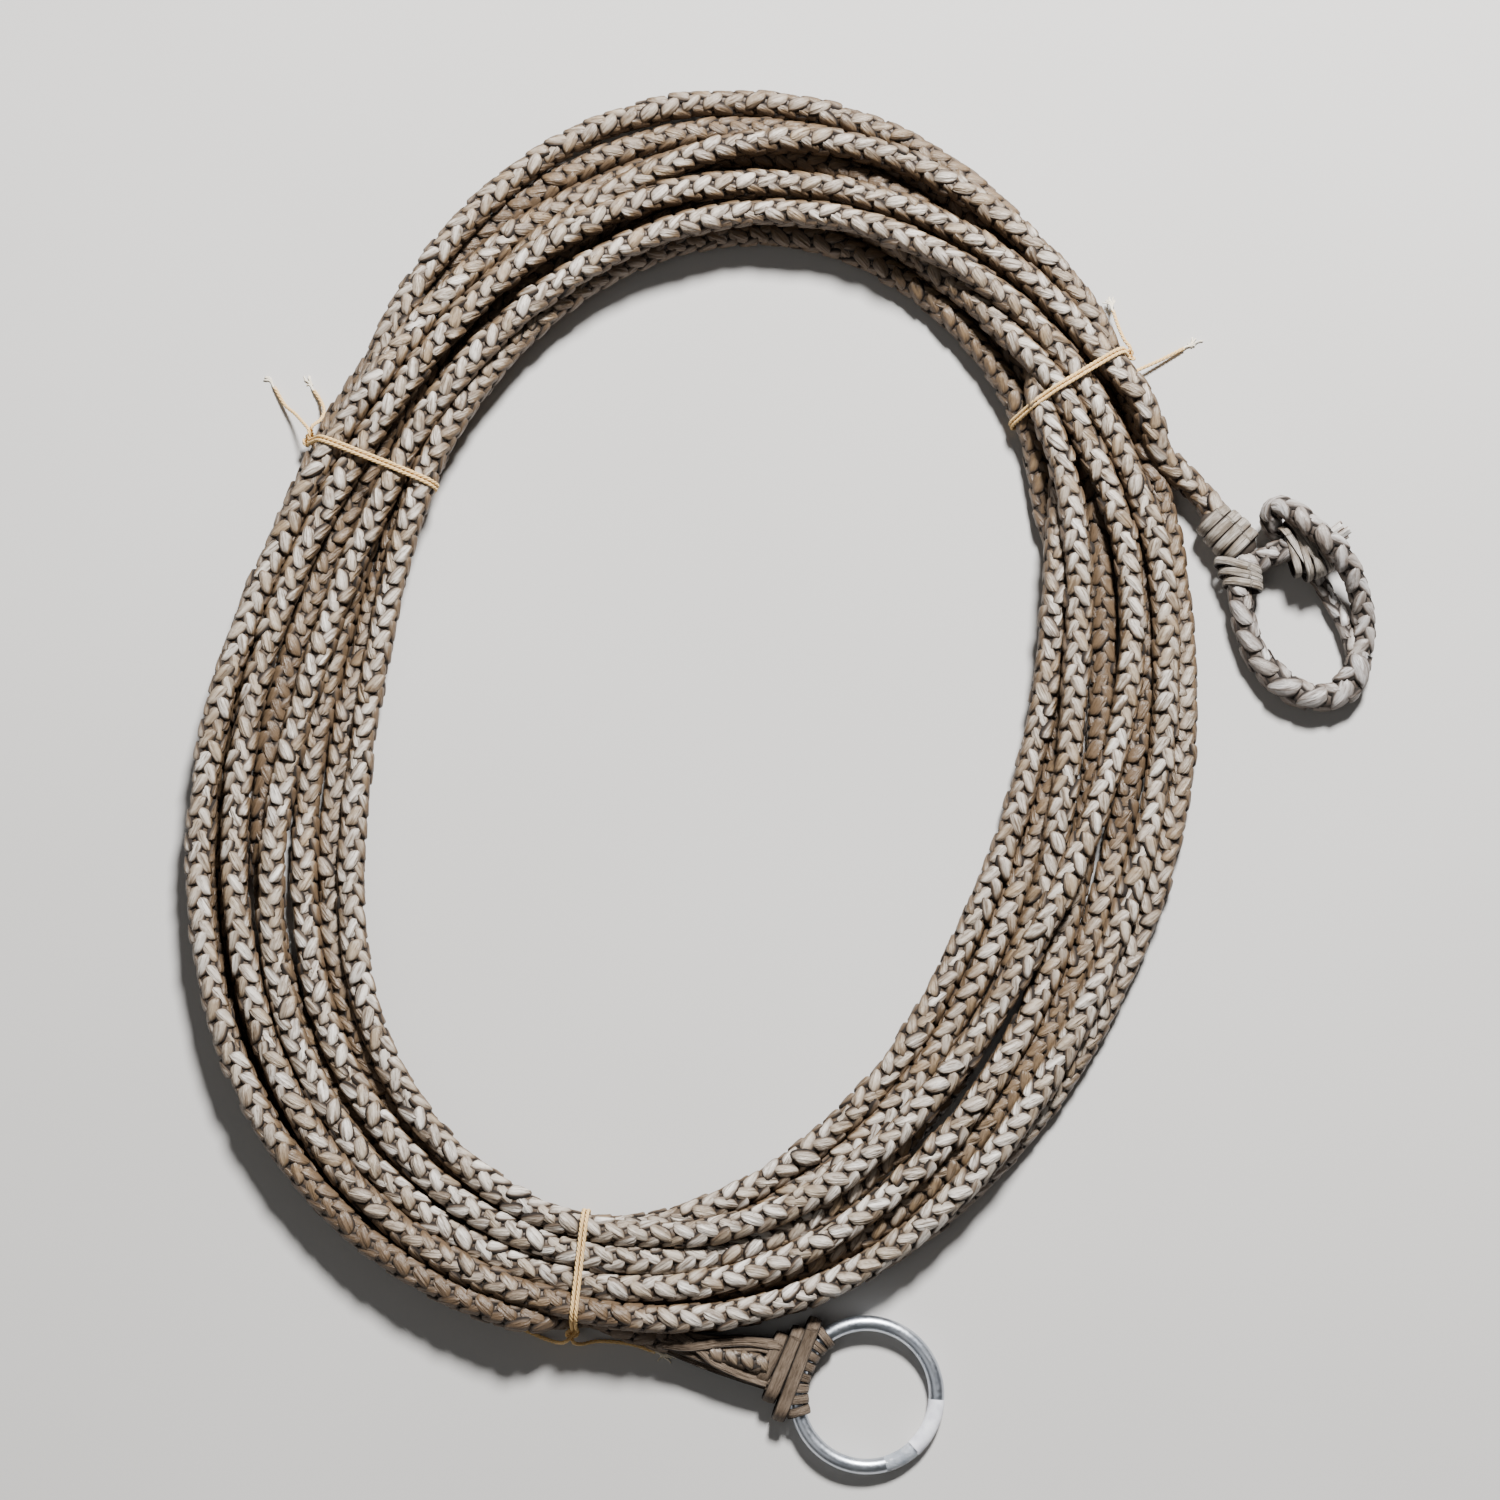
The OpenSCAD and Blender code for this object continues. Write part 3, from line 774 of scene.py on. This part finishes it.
def add_rope(coil):
    t, u, z = coil
    turns = to_coil(t, u, z)
    points = np.vstack([np.array(RING_LEAD, float)[::-1], turns[::-1], np.array(LOOP_LEAD)[::-1]])
    path = smooth_path(points, 1.7)
    s = along(path)
    outside = np.concatenate([np.full(len(RING_LEAD), u[-1]), u[::-1],
                              np.full(len(LOOP_LEAD), u[0])])
    outside = np.interp(s, along(points) * s[-1] / along(points)[-1], outside)
    tubes = braid(path, ROPE_D, ROPE_LAY, ROPE_WAYS, brown_and_shade=rope_brown_and_shade(path, s, outside))
    piece = add_mesh("braided_rope", tubes, ROPE_PAINT)
    finish_piece(piece, "rope", "rawhide_braid", "rope_coil", "rope_ring_end", "rope_loop_end")
    return piece, path


def declare_cord(path):
    route = path * MM
    float(along(route)[-1])


def turned(points, angle, centre=(0.0, 0.0, 0.0)):
    """Points turned about the upright axis, then moved to centre."""
    points = np.asarray(points, float)
    c, s = math.cos(math.radians(angle)), math.sin(math.radians(angle))
    return np.stack([points[..., 0] * c - points[..., 1] * s,
                     points[..., 0] * s + points[..., 1] * c, points[..., 2]], axis=-1) + centre


def at_ring(points, centre=RING_CENTRE):
    """Points of the ring's own frame, whose x runs away from the rope, put in place."""
    points = np.asarray(points, float)
    c, s = math.cos(math.radians(RING_TILT)), math.sin(math.radians(RING_TILT))
    tilted = np.stack([points[..., 0] * c + points[..., 2] * s, points[..., 1],
                       points[..., 2] * c - points[..., 0] * s], axis=-1)
    return turned(tilted, LASH_ANGLE, centre)


def oval(length, height, spacing=1.2):
    """An upright oval with round ends, in the plane across x: its points and normals."""
    r = height / 2
    flat = max(length - height, 0.1)
    total = 2 * flat + 2 * np.pi * r
    d = np.arange(int(total / spacing)) * total / int(total / spacing)
    y, z, a = np.zeros_like(d), np.zeros_like(d), np.zeros_like(d)
    top = d < flat
    y[top], z[top], a[top] = flat / 2 - d[top], r, np.pi / 2
    left = (d >= flat) & (d < flat + np.pi * r)
    a[left] = np.pi / 2 + (d[left] - flat) / r
    y[left] = -flat / 2
    low = (d >= flat + np.pi * r) & (d < 2 * flat + np.pi * r)
    y[low], z[low], a[low] = -flat / 2 + (d[low] - flat - np.pi * r), -r, -np.pi / 2
    right = d >= 2 * flat + np.pi * r
    a[right] = -np.pi / 2 + (d[right] - 2 * flat - np.pi * r) / r
    y[right] = flat / 2
    ends = left | right
    y[ends] += r * np.cos(a[ends])
    z[ends] = r * np.sin(a[ends])
    zero = np.zeros_like(d)
    return np.stack([zero, y, z], axis=-1), np.stack([zero, np.cos(a), np.sin(a)], axis=-1)


def wrap(place, x, length, height, width, lean=0.0, thick=1.9):
    """One turn of flat strip round an oval bundle at x along it."""
    points, normals = oval(length - thick, height - thick)
    points[:, 0] = x + lean * points[:, 1]
    return strip(place(points), place(normals, np.zeros(3)), width, thick, closed=True)


def bundle(place, xs, widths, heights, crown=0.35):
    """A solid core of oval cross-sections, each its own width and height, along x."""
    a = np.linspace(0, 2 * np.pi, 20, endpoint=False)
    rings = [np.stack([np.full(20, float(x)), width / 2 * np.cos(a), height / 2 * np.sin(a)],
                      axis=-1) for x, width, height in zip(xs, widths, heights)]
    return dict(points=place(np.array(rings)), closed=False, crown=crown)


def add_ring_lashing():
    for name, x, length, lean in RING_WRAPS:
        tube = wrap(at_ring, x, length, 12.6, 5.7, lean)
        piece = add_mesh("lashing_" + name, [tube], SHADED_RING_STRIP_PAINT)
        finish_piece(piece, "rope", "rawhide_strip", "ring_wrap_" + name)
    loops = []
    pitch = 2 * HALF_LASH / LASH_LOOPS
    eye = WIRE_R + WIRE_GAP + STRIP_T / 2 + 0.35
    b = np.radians(np.arange(0, 360, 15))
    for i in range(LASH_LOOPS):
        a = math.radians(180 - HALF_LASH + pitch * (i + 0.5))
        e = np.array([math.cos(a), math.sin(a), 0])
        spread = rng.normal(0, 0.25)
        normals = np.cos(b)[:, None] * e + np.sin(b)[:, None] * np.array([0, 0, 1])
        along_ring = np.array([-e[1], e[0], 0])
        points = RING_R * e + eye * normals + spread * np.cos(b)[:, None] * along_ring
        loops.append(strip(at_ring(points), at_ring(normals, np.zeros(3)),
                           3.9 + rng.normal(0, 0.15), STRIP_T, closed=True))
    piece = add_mesh("lashing_loops", loops, SHADED_RING_STRIP_PAINT)
    finish_piece(piece, "rope", "rawhide_strip", "ring_eye_loops")


def add_ring_fan():
    strips = []
    for side in (1, -0.8):
        for route in FAN_ROUTES:
            path = smooth_path(np.array(route) * (1, 1, side), 1.5)
            up = np.broadcast_to((0.0, 0.15, float(np.sign(side))), path.shape)
            strips.append(strip(at_ring(path), at_ring(up, np.zeros(3)), 4.2, STRIP_T))
    piece = add_mesh("fan_strands", strips, SHADED_RING_STRIP_PAINT)
    finish_piece(piece, "rope", "rawhide_strip", "ring_fan_strands")
    path = at_ring(smooth_path(FAN_KNOT, 1.0))
    piece = add_mesh("fan_weave", braid(path, 8.6, 13.0, 2, flat=1.0, roll=0.8), SHADED_RING_WEAVE_PAINT)
    finish_piece(piece, "rope", "rawhide_strip")


def at_splice(points, centre=SPLICE):
    return turned(points, SPLICE_ANGLE, centre)


def add_loop_lashing():
    for i, (length, lean) in enumerate(SPLICE_WRAPS):
        tube = wrap(at_splice, 3.4 + 5.3 * i, length, 14.8, 5.2, lean)
        piece = add_mesh("loop_band_%d" % (i + 1), [tube], STRIP_PAINT)
        finish_piece(piece, "rope", "rawhide_strip", "loop_wrap_%d" % (i + 1))
    core = bundle(at_splice, (-1, 1, 11, 21, 25), (8, 14, 17, 15, 9), (7, 11.6, 12.4, 11.6, 8))
    piece = add_mesh("splice_core", [core], STRIP_PAINT)
    finish_piece(piece, "rope", "rawhide_strip", "loop_splice_core")
    for i in range(3):
        centre = np.array([194.6 + 0.9 * i, 79.5 - 4.0 * i, 8.6])

        def place(points, at=centre, angle=-104 + 3 * i):
            return turned(points, angle, at)

        tube = wrap(place, 0, 21.5 - 1.8 * i, 15.2 - 0.6 * i, 3.9, 0.03)
        piece = add_mesh("loop_cross_band_%d" % (i + 1), [tube], STRIP_PAINT)
        finish_piece(piece, "rope", "rawhide_strip", "loop_cross_wrap_%d" % (i + 1))


def add_loop():
    keeper_path = smooth_path(KEEPER_ROUTE, 1.2)
    girth = np.interp(along(keeper_path), *zip(*KEEPER_GIRTH))
    keeper = add_mesh("keeper_braid", braid(keeper_path, LOOP_D, 25.0, 2, flat=1.0, roll=0.8,
                                            girth=girth, plump=LOOP_PLUMP), LOOP_PAINT)
    finish_piece(keeper, "rope", "rawhide_loop_braid", "keeper_loop")
    declare_cord(keeper_path)
    eye_path = smooth_path(EYE_ROUTE, 1.0)
    girth = np.interp(along(eye_path), *zip(*EYE_GIRTH))
    eye = add_mesh("eye_braid", braid(eye_path, BRANCH_D, 22.0, 2, flat=1.0, roll=0.8,
                                      girth=girth, plump=LOOP_PLUMP), LOOP_PAINT)
    finish_piece(eye, "rope", "rawhide_loop_braid", "eye_outer_branch", "eye_inner_branch",
                 "eye_tip_knot")
    declare_cord(eye_path)
    leg_path = smooth_path(SHORT_ROUTE, 1.2)
    leg = add_mesh("short_leg_braid", braid(leg_path, 10.4, 21.0, 2, flat=1.0, roll=0.6,
                                            plump=LOOP_PLUMP), LOOP_PAINT)
    finish_piece(leg, "rope", "rawhide_loop_braid", "short_leg")


def add_button():
    def place(points, centre=BUTTON_MID):
        return turned(points, BUTTON_ANGLE, centre)

    tubes = []
    for i, x in enumerate(BUTTON_WRAPS):
        size = math.sqrt(1 - (x / 11) ** 2)
        tubes.append(wrap(place, x, 29.5 * size, 14.6 * size, 3.4, BUTTON_LEAN[i % 2], 1.7))
    xs = np.linspace(-8.6, 8.6, 9)
    sizes = np.sqrt(1 - (xs / 9) ** 2)
    tubes.append(bundle(place, xs, 26.5 * sizes, 11.6 * sizes, 0.1))
    knot = add_mesh("button_wound", tubes, STRIP_PAINT)
    finish_piece(knot, "rope", "rawhide_strip", "button_knot")
    stubs = []
    for i in range(7):
        around = 2 * np.pi * i / 6
        off = np.array([0, math.cos(around), math.sin(around)]) * (2.9 if i < 6 else 0)
        start = np.array([4.0, 0, 0]) + off * 0.8
        end = np.array([18.4 + rng.normal(0, 0.5), 0, 2.0]) + off * 1.15
        path = turned(smooth_path([start, (start + end) / 2, end], 1.0), 34, BUTTON)
        normal = np.broadcast_to(turned(off + (0, 0, 0.2), 34), path.shape)
        stubs.append(strip(path, normal, 3.6, 2.0))
    tuft = add_mesh("button_tuft", stubs, TUFT_PAINT)
    finish_piece(tuft, "rope", "rawhide_strip", "button_end")


def hull(points):
    """The convex outline of points in a plane, anticlockwise."""
    points = sorted(map(tuple, points))

    def half(row):
        line = []
        for p in row:
            while len(line) > 1 and (
                (line[-1][0] - line[-2][0]) * (p[1] - line[-2][1])
                - (line[-1][1] - line[-2][1]) * (p[0] - line[-2][0]) <= 0
            ):
                line.pop()
            line.append(p)
        return line[:-1]

    return np.array(half(points) + half(points[::-1]))


def tie_turns(coil, angle, skew):
    """Two turns of twine pulled tight round the bundle, from its outer side over the top."""
    t, u, z = coil
    a = np.linspace(0, 2 * np.pi, 24, endpoint=False)
    circle = (ROPE_D + TWINE_D) / 2 * np.stack([np.cos(a), np.sin(a)], axis=-1)
    dots = [np.array([np.interp(angle + 360 * k, t, u), np.interp(angle + 360 * k, t, z)])
            for k in range(9) if t[0] <= angle + 360 * k <= t[-1]]
    outline = hull(np.concatenate([dot + circle for dot in dots]))
    outline = np.roll(outline, -int(np.argmax(outline[:, 0])), axis=0)
    outline = np.vstack([outline, outline[:1]])
    length = along(outline)
    d = np.linspace(0, length[-1], int(length[-1] / 1.0))[:-1]
    loop = np.stack([np.interp(d, length, outline[:, k]) for k in (0, 1)], axis=-1)
    for _ in range(2):
        loop = (np.roll(loop, 1, 0) + 2 * loop + np.roll(loop, -1, 0)) / 4
    loop = np.vstack([loop, loop])
    loop[:, 1] = np.maximum(loop[:, 1], TWINE_D / 2)
    n = out_way(np.array(angle))
    step = np.linspace(-1.05, 1.05, len(loop)) * TWINE_D
    base = mid_point(np.array(angle))
    xy = base + loop[:, :1] * n + (step - skew * loop[:, 0])[:, None] * np.array([n[1], -n[0]])
    return np.concatenate([xy, loop[:, 1:]], axis=1)


def add_tie(coil, number):
    name = TIE_NAMES[number]
    turns = tie_turns(coil, TIE_ANGLES[number], TIE_SKEW[number])
    first, second = (np.array(tail, float) for tail in TAILS[number])
    path = smooth_path(np.vstack([first[::-1], turns[2:-TAIL_CUT[number]:3], second]), 0.6)
    twine = add_mesh("twine_" + name, twine_tubes(path, TWINE_D), TWINE_PAINT)
    finish_piece(twine, "rope", "waxed_twine", "tie_%s_band" % name, "tie_%s_tails" % name)
    a = np.linspace(0, 2 * np.pi, 60)
    trefoil = np.stack([np.sin(a) + 2 * np.sin(2 * a), np.cos(a) - 2 * np.cos(2 * a),
                        -1.4 * np.sin(3 * a)], axis=-1) * 0.85
    n = out_way(np.array(TIE_ANGLES[number]))
    heading = math.degrees(math.atan2(n[1], n[0]))
    upright = np.stack([trefoil[:, 2], trefoil[:, 0], trefoil[:, 1]], axis=-1)
    middle = (turns[0] + turns[-1]) / 2 + np.array([n[0], n[1], 0]) * 1.2
    knot = add_mesh("knot_" + name, twine_tubes(turned(upright, heading, middle), 1.5),
                    TWINE_PAINT)
    finish_piece(knot, "rope", "waxed_twine", "tie_%s_knot" % name)
    fibres = []
    for tail in (first, second):
        ahead = unit(tail[-1] - tail[-2])
        for _ in range(12):
            bend = rng.normal(0, 0.22, 3) * (1, 1, 0.2)
            tip = tail[-1] + (ahead + bend) * rng.uniform(4.5, 7.5)
            tip[2] = max(tip[2], 0.4)
            half = tail[-1] + (ahead + 0.35 * bend) * 3.5
            half[2] = max(half[2], 0.5)
            fibres += twine_tubes(smooth_path([tail[-1] - 2 * ahead, half, tip], 0.8), 1.15, 1)
    fray = add_mesh("fray_" + name, fibres, FRAY_PAINT)
    finish_piece(fray, "rope", "waxed_twine")
    declare_cord(path)


def dress(node, material):
    """Give a CAD node that stays in view its finish."""
    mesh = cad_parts[node].data
    mesh.materials.clear()
    mesh.materials.append(material)


add_camera()
ROPE_PAINT = braid_paint("rawhide_braid", (0.86, 0.81, 0.74), (0.40, 0.32, 0.23),
                         (0.32, 0.205, 0.095), (0.11, 0.07, 0.04), (0.012, 0.007, 0.004))
LOOP_PAINT = braid_paint("rawhide_loop_braid", (0.62, 0.60, 0.59), (0.36, 0.32, 0.285),
                         (0.23, 0.18, 0.14), (0.12, 0.09, 0.07), (0.016, 0.011, 0.008))
STRIP_PAINT = strip_paint("rawhide_strip", (0.50, 0.455, 0.40), (0.19, 0.15, 0.11),
                          (0.02, 0.012, 0.008))
# The ring's lashing and weave paints are darker copies of the strip and braid paints: the hide there
# is darker brown, darkened further as painted shade.
SHADED_RING_STRIP_PAINT = strip_paint("rawhide_ring_strip_shaded", (0.19, 0.14, 0.10), (0.09, 0.062, 0.04),
                               (0.012, 0.008, 0.005))
SHADED_RING_WEAVE_PAINT = braid_paint("rawhide_ring_weave_shaded", (0.24, 0.18, 0.12), (0.17, 0.12, 0.08),
                              (0.12, 0.08, 0.05), (0.06, 0.04, 0.025), (0.012, 0.008, 0.005))
TUFT_PAINT = strip_paint("rawhide_cut_end", (0.80, 0.77, 0.73), (0.5, 0.45, 0.4),
                         (0.2, 0.15, 0.12))
TWINE_PAINT = twine_paint("waxed_twine", (0.62, 0.36, 0.12), (0.86, 0.64, 0.33))
FRAY_PAINT = twine_paint("twine_fray", (0.80, 0.70, 0.52), (0.90, 0.83, 0.70))

coil = settle_coil()
rope, rope_path = add_rope(coil)
declare_cord(rope_path)
add_loop()
for number in range(len(TIE_NAMES)):
    add_tie(coil, number)
add_ring_lashing()
add_ring_fan()
add_loop_lashing()
add_button()
dress("steel_ring", zinc_paint())
dress("ring_label", paper_paint())
dress("ring_tape", tape_paint())
# the fan core has no crown field, so the shaded ring strip paint makes it nearly black: painted
# shade
dress("ring_fan_core", SHADED_RING_STRIP_PAINT)

add_lights()
bpy.ops.mesh.primitive_plane_add(size=FLOOR_SIZE, location=(0, 0, 0))
floor = bpy.context.object
floor.name = "floor"
floor.data.materials.append(floor_paint())
